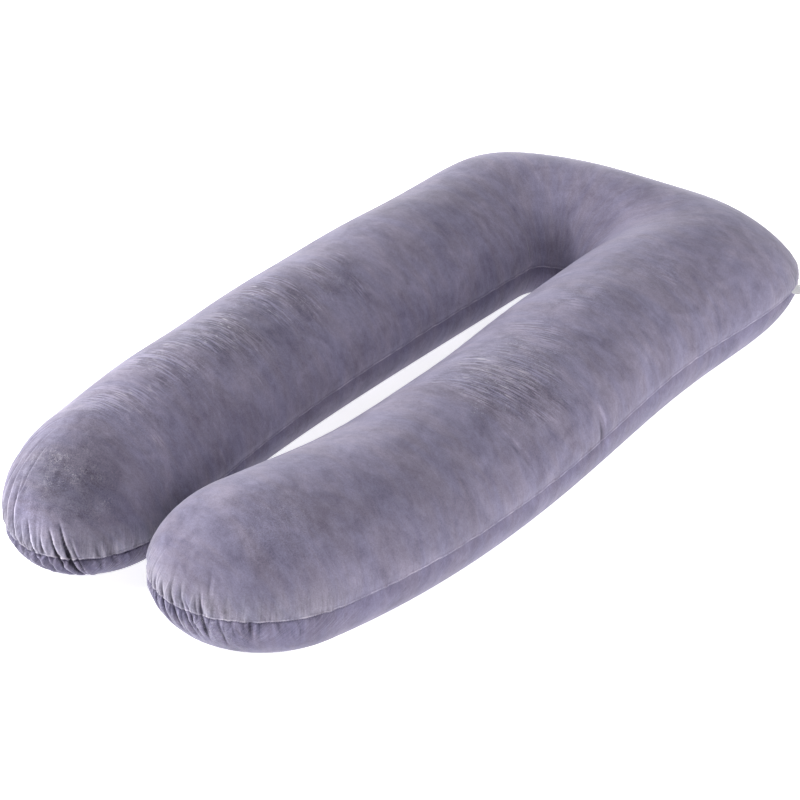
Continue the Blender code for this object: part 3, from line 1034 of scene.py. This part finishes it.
def hair_group():
    """Thin light hairs where the pile has been scuffed up, in a few patches."""
    group, given = new_group("velvet scuffed hairs", ("Place",), scuffed=0.0, hair_spacing=HAIR_SPACING)
    place = given["Place"]
    field = grain(place, HAIR_NOISE, 1.0 / given["Hair spacing"])
    line = between(abs(field - 0.5), HAIR_LINE)
    uneven = (grain(place, HAIR_PATCH_NOISE) - 0.5) * HAIR_UNEVEN
    patches = between(given["Scuffed"] + uneven, HAIR_PATCHES)
    broken = between(grain(place, HAIR_BREAK_NOISE), HAIR_BREAKS)
    return finished_group(group, hair=line * patches * broken)


def seam_group():
    """Bands by the distance up from the seam: the lower panel, the slit, the lip and the paler band above the
    seam where the outline bends.
    """
    group, given = new_group("velvet seam bands", (), reach=0.0, bend=0.0)
    reach = given["Reach"]
    bend = given["Bend"]
    return finished_group(
        group,
        lower_panel=between(reach, BELOW_SEAM),
        slit=between(abs(reach - SLIT_PLACE), SLIT_BAND) * between(bend, SLIT_OPENING),
        lip=between(abs(reach - LIP_PLACE), LIP_BAND),
        rubbed_edge=between(reach, ABOVE_SEAM) * between(reach, PALE_BAND_FADE) * bend,
    )


def gather_group():
    """Height of the finest gathers, which run straight out of the seam where the outline bends."""
    group, given = new_group("velvet fine gathers", ("Cloth map",), bend=0.0)
    cloth = parts(given["Cloth map"])
    slanted = cloth["X"] + cloth["Y"] * between(cloth["Y"], GATHER_SLANT)
    lines = grain(joined(slanted * GATHER_LINES, cloth["Y"] * GATHER_BREAKS), GATHER_NOISE)
    share = given["Bend"] * (1 - GATHER_STRAIGHT) + GATHER_STRAIGHT
    near = between(abs(cloth["Y"]), GATHER_FADE)
    return finished_group(group, height=(lines - 0.5) * (near * share))


def new_material(name):
    material = bpy.data.materials.new(name)
    material.use_nodes = True
    tree = material.node_tree
    return material, tree, tree.nodes["Principled BSDF"]


def velvet_hairs(place, scuffed, scratch):
    """How much of the surface is covered by hairs, finer specks and scratches."""
    tree = place.tree
    group = hair_group()
    hairs = use_group(tree, group, place=place, scuffed=scuffed)["Hair"]
    mirrored = stretched(place, SPECK_MIRROR)
    specks = use_group(tree, group, place=mirrored, scuffed=scuffed, hair_spacing=SPECK_SPACING)["Hair"]
    both = figure("MAXIMUM", hairs, specks) * HAIR_SHARE
    return figure("MAXIMUM", both, scratch * SCRATCH_SHARE)


def velvet_colour(lay, tone, lighter):
    """Slate to mauve velvet in its light and its shade, lighter where the pile lies towards the light, and
    lighter and darker where the patches paint highlights and shade.
    """
    hue = between(grain(stretched(lay, HUE_STRETCH), HUE_NOISE), HUE_CHANGE)
    colour = mixed(hue, VELVET_SLATE, VELVET_MAUVE)
    colour = mixed(1.0, colour, mixed(tone, VELVET_SHADE, VELVET_LIGHT), "MULTIPLY")
    return stretched(colour, lighter + 1.0)


def velvet_tints(place, bend, bands):
    """Each crease and band of the velvet: where it is, and what it multiplies the colour by. The creases get
    painted highlights on their ridges and painted shade in their cores, the lower panel and the slit get
    painted shade, and the lip gets a painted highlight; the band above the seam at the bends is made paler
    and greyer.
    """
    pinch = attribute(place.tree, "pinch")["Fac"]
    # How much of the lip's painted highlight shows along the seam
    lip_highlight_share = between(grain(place, LIP_HIGHLIGHT_NOISE), LIP_HIGHLIGHT_BREAKS)
    return [(between(pinch, ramp), tint) for ramp, tint in CREASE_PAINTED_LIGHT_AND_SHADE] + [
        (bands["Lower panel"], mixed(bend, LOWER_PANEL_PAINTED_SHADE, LOWER_TIP_PAINTED_SHADE)),
        (bands["Rubbed edge"], PALE_BAND_TINT),
        (bands["Lip"] * lip_highlight_share, LIP_PAINTED_HIGHLIGHT),
        (bands["Slit"], SLIT_PAINTED_SHADE),
    ]


def velvet_material():
    """Short brushed pile: patches of nap, cross streaks, scuffed hairs, and its bands along the seam."""
    material, tree, shader = new_material("velvet")
    place = add(tree, "ShaderNodeTexCoord")["Object"]
    cloth_map = add(tree, "ShaderNodeUVMap", uv_map="cloth")["UV"]
    lay = attribute(tree, "lay")["Vector"]
    scuffed = attribute(tree, "scuffed")["Fac"]
    bend = parts(lay)["Z"]
    contrast = between(scuffed, NAP_CONTRAST)
    nap = use_group(tree, nap_group(), place=place, lay=lay, contrast=contrast)["Nap"]
    brushed = use_group(tree, brushed_group(), lay=lay, place=place, scuffed=scuffed)
    bands = use_group(tree, seam_group(), reach=parts(cloth_map)["Y"], bend=bend)
    gathers = use_group(tree, gather_group(), cloth_map=cloth_map, bend=bend)["Height"]
    pile = grain(place, PILE_NOISE)
    specked = (pile - 0.5) * between(scuffed, PILE_CONTRAST)
    # The finest gathers' height is also added to the tone, which paints their ridges lighter and their
    # troughs in shade
    tone = figure("ADD", nap + brushed["Streak"] + specked, gathers, clamp=True)
    colour = velvet_colour(lay, tone, attribute(tree, "lighter")["Fac"])
    for share, tint in velvet_tints(place, bend, bands):
        colour = mixed(share, colour, tint, "MULTIPLY")
    hairs = velvet_hairs(place, scuffed, brushed["Scratch"])
    height = 0.0
    for layer, most in zip((pile, nap, brushed["Streak"], gathers), VELVET_HEIGHTS):
        height = layer * most + height
    fill(shader, {
        "Base Color": mixed(hairs, colour, HAIR_LIGHT),
        "Roughness": between(nap, PILE_ROUGHNESS),
        "Normal": bumped(height),
        **VELVET_FINISH,
    })
    return material


def tape_material():
    """White woven tape: fine warp lines along its length, and a denser band at each selvedge."""
    material, tree, shader = new_material("label_tape")
    tape = attribute(tree, "tape")["Vector"]
    place = parts(tape)
    warp = figure("SINE", place["X"] * (2 * math.pi / WARP_PITCH))
    weft = figure("SINE", place["Y"] * (2 * math.pi / WEFT_PITCH))
    selvedge = between(abs(place["X"] - TAB_WIDTH / 2), SELVEDGE)
    ribs = grain(stretched(tape, TAPE_RIB_STRETCH), TAPE_RIB_NOISE)
    tone = figure("ADD", ribs * TAPE_RIB_SHARE, selvedge * SELVEDGE_SHARE, clamp=True)
    fill(shader, {
        "Base Color": mixed(tone, TAPE_WHITE, TAPE_DENSE),
        "Roughness": between(tone, TAPE_ROUGHNESS),
        "Normal": bumped(warp * WARP_HEIGHT + weft * WEFT_HEIGHT),
        "Sheen Weight": TAPE_SHEEN,
    })
    return material


def thread_material():
    """Slate sewing thread with a fine twist."""
    material, tree, shader = new_material("sewing_thread")
    twist = grain(add(tree, "ShaderNodeTexCoord")["Object"], TWIST_NOISE)
    fill(shader, {"Base Color": mixed(twist, THREAD_DARK, THREAD_LIGHT), "Roughness": THREAD_ROUGHNESS})
    return material


def lay_of_cloth(points, reach, centre, fine_rib, bend):
    """For each point, its place along the body, its place over the top from the outer side, and its bend."""
    crest = points[-1]
    down = reach[-1] - reach
    onwards = np.zeros(reach.shape[1])
    sideways = np.where(np.arange(reach.shape[1]) > fine_rib.argmax(), 1.0, -1.0)
    seam_row = int(np.argmin(np.abs(reach[:, 0])))
    towards_seam = points[seam_row, :, :2] - crest[:, :2]
    towards_seam = towards_seam / np.linalg.norm(towards_seam, axis=1, keepdims=True)
    for tip_rib, before, way in ((0, 1, -1), (len(centre) - 1, len(centre) - 2, 1)):
        fan = fine_rib == tip_rib
        ahead = centre[tip_rib] - centre[before]
        ahead = ahead / np.linalg.norm(ahead)
        onwards[fan] = way * towards_seam[fan] @ ahead
        sideways[fan] = way * towards_seam[fan] @ np.array([ahead[1], -ahead[0]])
    spine = distances(centre)[fine_rib]
    return columns(spine + onwards * down, sideways * down, np.broadcast_to(bend, reach.shape))


def fine_sections(seam, rib, centres):
    """The settled sections on twice as many stations, and how far each of their rows is from the seam."""
    settled, reach = settled_sections(seam, rib, centres)
    reach = finer_stations(reach)
    flat_row = int(np.argmin(np.abs(row_shares() + 1)))
    wanted = wanted_reaches(reach[0], reach[flat_row], reach[-1])
    return finer_rows(finer_stations(settled), reach, wanted), wanted


def centred_on_solid(rows):
    """The sections moved level, so that their middle is over the middle of the solid that they stand for."""
    middle = (rows.min(axis=(0, 1)) + rows.max(axis=(0, 1))) / 2
    low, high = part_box("pillow")
    return rows - np.array([middle[0] - (low[0] + high[0]) / 2, middle[1] - (low[1] + high[1]) / 2, 0])


def give_points(mesh, name, values):
    """An attribute with a value for each point, or with three of them."""
    whole = values.ndim > 1
    made = mesh.attributes.new(name, "FLOAT_VECTOR" if whole else "FLOAT", "POINT")
    made.data.foreach_set("vector" if whole else "value", values.ravel())


def make_body(seam, rib, centres):
    """The velvet body with its seam and creases, and the seam line that is sewn and labelled."""
    rows, wanted = fine_sections(seam, rib, centres)
    seam_row = FLAT_FINE + BOTTOM_FINE + len(BESIDE_SEAM)
    along = loop_distances(rows[seam_row])
    bend = outline_bend(rows[seam_row, :, :2], along)
    marks = loop_marks(rows[seam_row], along)
    creases = gather_depth(SHARP_CREASE, along, marks, wanted) + small_creases(along, wanted, bend)
    creases[[0, -1]] = 0
    rise = seam_relief(wanted, bend) - creases
    rise[[0, -1]] = 0
    rows = rows + rise[..., None] * outward(rows)
    rows[..., 2] += edge_wobble(along, wanted)
    rows[..., 2] = np.maximum(rows[..., 2], 0)
    rows[:FLAT_FINE + 1, :, 2] = 0
    rows = centred_on_solid(rows)
    fine_rib = np.stack([2 * rib, rib + np.roll(rib, -1)], axis=1).ravel()
    index = shared_index(len(rows), fine_rib)
    faces, corners = panel_faces(index)
    body = new_mesh_object("velvet_body", on_vertices(index, rows), faces)
    mesh = body.data
    mesh.shade_smooth()
    fine_centres = rows[-1, np.unique(fine_rib, return_index=True)[1], :2]
    lay = lay_of_cloth(rows, wanted, fine_centres, fine_rib, bend)
    lighter, scuffed = stroked_pile_and_painted_light(rows)
    given = {"lay": lay, "pinch": creases / MILLIMETRE, "lighter": lighter, "scuffed": scuffed}
    for name, values in given.items():
        give_points(mesh, name, on_vertices(index, values))
    flat_cloth = columns(*np.broadcast_arrays(along, np.append(wanted, wanted[:, :1], axis=1)))
    cloth_map = mesh.uv_layers.new(name="cloth").data
    cloth_map.foreach_set("uv", flat_cloth[corners[:, 0], corners[:, 1]].ravel())
    mesh.materials.append(velvet_material())
    return body, rows[seam_row], along - marks["head"]


def tape_section():
    """Outer and inner points of the folded tape, out along its upper layer, round the fold and back below."""
    turn = np.linspace(np.pi / 2, -np.pi / 2, FOLD_STEPS + 1)
    straight = np.linspace(0, TAB_LENGTH, FOLD_STEPS)[:-1]
    sides = []
    for half in (TAPE_GAP / 2 + TAPE_THICKNESS, TAPE_GAP / 2):
        reach = np.concatenate([straight, TAB_LENGTH + half * np.cos(turn), straight[::-1]])
        layer = np.full(len(straight), half)
        height = np.concatenate([layer, half * np.sin(turn), -layer])
        share = reach / TAB_LENGTH
        below = np.arange(len(reach)) >= len(straight) + (FOLD_STEPS + 1) / 2
        parting = np.where(below, TAB_SPREAD, 0.0) * arch(share, 0, 1)
        sides.append(columns(reach, height - parting + TAB_RISE * share**2))
    return sides


def label_root(seam_line, past_head):
    """Straight level line where the tab leaves the seam, and the way out from it."""
    at = TAB_AT + np.linspace(-TAB_WIDTH / 2, TAB_WIDTH / 2, TAB_STEPS)
    root = columns(*(np.interp(at, past_head, seam_line[:, axis]) for axis in range(3)))
    edge = root[-1] - root[0]
    out = columns(-edge[1], edge[0], 0.0) / np.hypot(edge[0], edge[1])
    root[:, :2] = root[0, :2] + np.outer(np.linspace(0, 1, TAB_STEPS), edge[:2])
    root[:, 2] = root[:, 2].mean()
    return root, out


def tape_faces(count):
    """Faces round each strip of the tape, whose ring has this many points, and over its two cut ends."""
    faces = []
    for step in range(TAB_STEPS - 1):
        start = step * count
        for j in range(count):
            k = (j + 1) % count
            faces.append((start + j, start + count + j, start + count + k, start + k))
    for j in range(count // 2 - 1):
        cap = (j, j + 1, count - 2 - j, count - 1 - j)
        faces.append(cap)
        faces.append(tuple((TAB_STEPS - 1) * count + index for index in cap[::-1]))
    return faces


def make_label(seam_line, past_head):
    """The folded tape tab, standing out of the slit with a slight wave. Nothing is woven or printed on it."""
    root, out = label_root(seam_line, past_head)
    outer, inner = tape_section()
    ring = np.concatenate([outer, inner[::-1]])
    across = np.linspace(-1, 1, TAB_STEPS)[:, None]
    wave = TAB_WAVE * np.sin(TAB_WAVE_TURN * across + TAB_WAVE_START) * (ring[None, :, 0] / TAB_LENGTH)
    points = root[:, None, :] + (TAB_SEAT + ring[None, :, :1]) * out
    points[..., 2] += ring[None, :, 1] + wave
    label = new_mesh_object("label_tab", points.reshape(-1, 3), tape_faces(len(ring)))
    label.data.shade_smooth()
    width = np.broadcast_to(np.linspace(0, TAB_WIDTH, TAB_STEPS)[:, None], points.shape[:2])
    tape = columns(width, np.broadcast_to(ring[:, 0], width.shape), np.zeros(width.shape))
    give_points(label.data, "tape", tape.reshape(-1, 3))
    label.data.materials.append(tape_material())
    return label


def stitching_tree(thread):
    """Geometry Nodes that lay short stitches end to end along a closed line."""
    tree = bpy.data.node_groups.new("seam stitching", "GeometryNodeTree")
    new_socket(tree, "INPUT", "Geometry", "Line")
    take_sizes(tree, pitch=STITCH_PITCH, stitch_length=STITCH_LENGTH, thread_radius=THREAD_RADIUS)
    new_socket(tree, "OUTPUT", "Geometry", "Stitches")
    given = add(tree, "NodeGroupInput")
    path = add(tree, "GeometryNodeMeshToCurve", {"Mesh": given["Line"]})["Curve"]
    spaced = add(tree, "GeometryNodeCurveToPoints", {"Curve": path, "Length": given["Pitch"]}, mode="LENGTH")
    sizes = {"Vertices": THREAD_SIDES, "Radius": given["Thread radius"], "Depth": given["Stitch length"]}
    stitch = add(tree, "GeometryNodeMeshCylinder", sizes, fill_type="TRIANGLE_FAN")["Mesh"]
    turned = add(tree, "FunctionNodeAlignRotationToVector", {"Vector": spaced["Tangent"]}, axis="Z")
    places = {"Points": spaced["Points"], "Instance": stitch, "Rotation": turned["Rotation"]}
    placed = add(tree, "GeometryNodeInstanceOnPoints", places)["Instances"]
    real = add(tree, "GeometryNodeRealizeInstances", {"Geometry": placed})["Geometry"]
    painted = add(tree, "GeometryNodeSetMaterial", {"Geometry": real, "Material": thread})["Geometry"]
    add(tree, "NodeGroupOutput", {"Stitches": painted})
    return tree


def make_stitching(seam_line):
    """Stitches that close the panels, in the slit under the top panel's edge."""
    ahead = np.roll(seam_line, -1, axis=0) - np.roll(seam_line, 1, axis=0)
    out = columns(-ahead[:, 1], ahead[:, 0]) / np.hypot(ahead[:, 0], ahead[:, 1])[:, None]
    path = seam_line + columns(out[:, 0], out[:, 1], np.zeros(len(out))) * STITCH_OUT
    path[:, 2] -= STITCH_SINK
    count = len(path)
    line = new_mesh_object("stitch_line", path, [], [(j, (j + 1) % count) for j in range(count)])
    modifier = line.modifiers.new("stitching", "NODES")
    modifier.node_group = stitching_tree(thread_material())
    sewn = line.evaluated_get(bpy.context.evaluated_depsgraph_get())
    finished = bpy.data.meshes.new_from_object(sewn)
    bpy.data.objects.remove(line)
    finished.name = "seam_stitching"
    finished.shade_smooth()
    return new_object("seam_stitching", finished)


# Camera, floor and studio
CAMERA_AZIMUTH = 38.23
CAMERA_ELEVATION = 29.88
CAMERA_DISTANCE = 3.976
CAMERA_AIM = (0.0528, -0.1093, 0.1)
FOCAL_PIXELS = 2680
IMAGE_SIDE = 800
SENSOR = 36.0
FLOOR_SIDE = 60.0
FLOOR_GLOW = 0.74
WORLD_GLOW = 0.027  # what it lights the pillow with
WORLD_SEEN = 0.80  # how pale it looks past the floor's edge
WHITE = (1, 1, 1, 1)
FLOOR_WHITE = (0.93, 0.93, 0.93, 1)
FLOOR_ROUGHNESS = 0.9

# Softboxes round the pillow: how far each stands to the camera's left, towards the camera and up, and its
# power in watts
Softbox = namedtuple("Softbox", "name left towards up power")
SOFTBOX_SIDE = 2.2
SOFTBOXES = (
    Softbox("left", 3.7, 0.0, 1.5, 208),
    Softbox("behind_left", 2.6, -2.6, 1.5, 120),
    Softbox("high_behind_left", 1.6, -1.6, 3.3, 40),
    Softbox("front", 0.0, 3.7, 1.5, 45),
    Softbox("front_right", -2.6, 2.6, 1.5, 66),
    Softbox("right", -3.7, 0.0, 1.5, 58),
    Softbox("behind_right", -2.6, -2.6, 1.5, 23),
)


def make_camera():
    azimuth = math.radians(CAMERA_AZIMUTH)
    elevation = math.radians(CAMERA_ELEVATION)
    level = math.cos(elevation)
    back = Vector((math.sin(azimuth) * level, -math.cos(azimuth) * level, math.sin(elevation)))
    data = bpy.data.cameras.new("camera")
    data.sensor_width = SENSOR
    data.lens = FOCAL_PIXELS / IMAGE_SIDE * SENSOR
    camera = new_object("camera", data)
    camera.location = Vector(CAMERA_AIM) + back * CAMERA_DISTANCE
    camera.rotation_euler = (-back).to_track_quat("-Z", "Y").to_euler()
    bpy.context.scene.camera = camera


def make_floor():
    """Plain white sheet that the pillow lies on."""
    half = FLOOR_SIDE / 2
    corners = np.array([(-half, -half, 0), (half, -half, 0), (half, half, 0), (-half, half, 0)])
    floor = new_mesh_object("floor", corners, [(0, 1, 2, 3)])
    material, _, shader = new_material("floor_white")
    fill(shader, {
        "Base Color": FLOOR_WHITE,
        "Roughness": FLOOR_ROUGHNESS,
        "Emission Color": WHITE,
        "Emission Strength": FLOOR_GLOW,
    })
    floor.data.materials.append(material)


def make_softbox(box):
    """Square light that faces the pillow."""
    azimuth = math.radians(CAMERA_AZIMUTH)
    right = Vector((math.cos(azimuth), math.sin(azimuth), 0))
    ahead = Vector((math.sin(azimuth), -math.cos(azimuth), 0))
    data = bpy.data.lights.new(box.name, "AREA")
    data.size = SOFTBOX_SIDE
    data.energy = box.power
    light = new_object(box.name, data)
    light.location = ahead * box.towards - right * box.left + Vector((0, 0, box.up))
    light.rotation_euler = (-light.location).to_track_quat("-Z", "Y").to_euler()


def make_light():
    """White studio, lit most from the left and from behind on the left, and a little from all other sides."""
    world = bpy.data.worlds.new("studio")
    bpy.context.scene.world = world
    world.use_nodes = True
    tree = world.node_tree
    seen = add(tree, "ShaderNodeLightPath")["Is Camera Ray"] * WORLD_SEEN
    fill(tree.nodes["Background"], {"Color": WHITE, "Strength": figure("MAXIMUM", seen, WORLD_GLOW)})
    for box in SOFTBOXES:
        make_softbox(box)
    bpy.context.scene.view_settings.view_transform = "Standard"


seam, rib, centres = seam_loop()
body, seam_line, along = make_body(seam, rib, centres)
label = make_label(seam_line, along[:-1])
stitching = make_stitching(seam_line)
for piece, slot in ((body, "velvet"), (label, "label_tape"), (stitching, "velvet")):
    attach(piece, "root")
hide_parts("pillow")
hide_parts("side_label")
make_floor()
make_camera()
make_light()
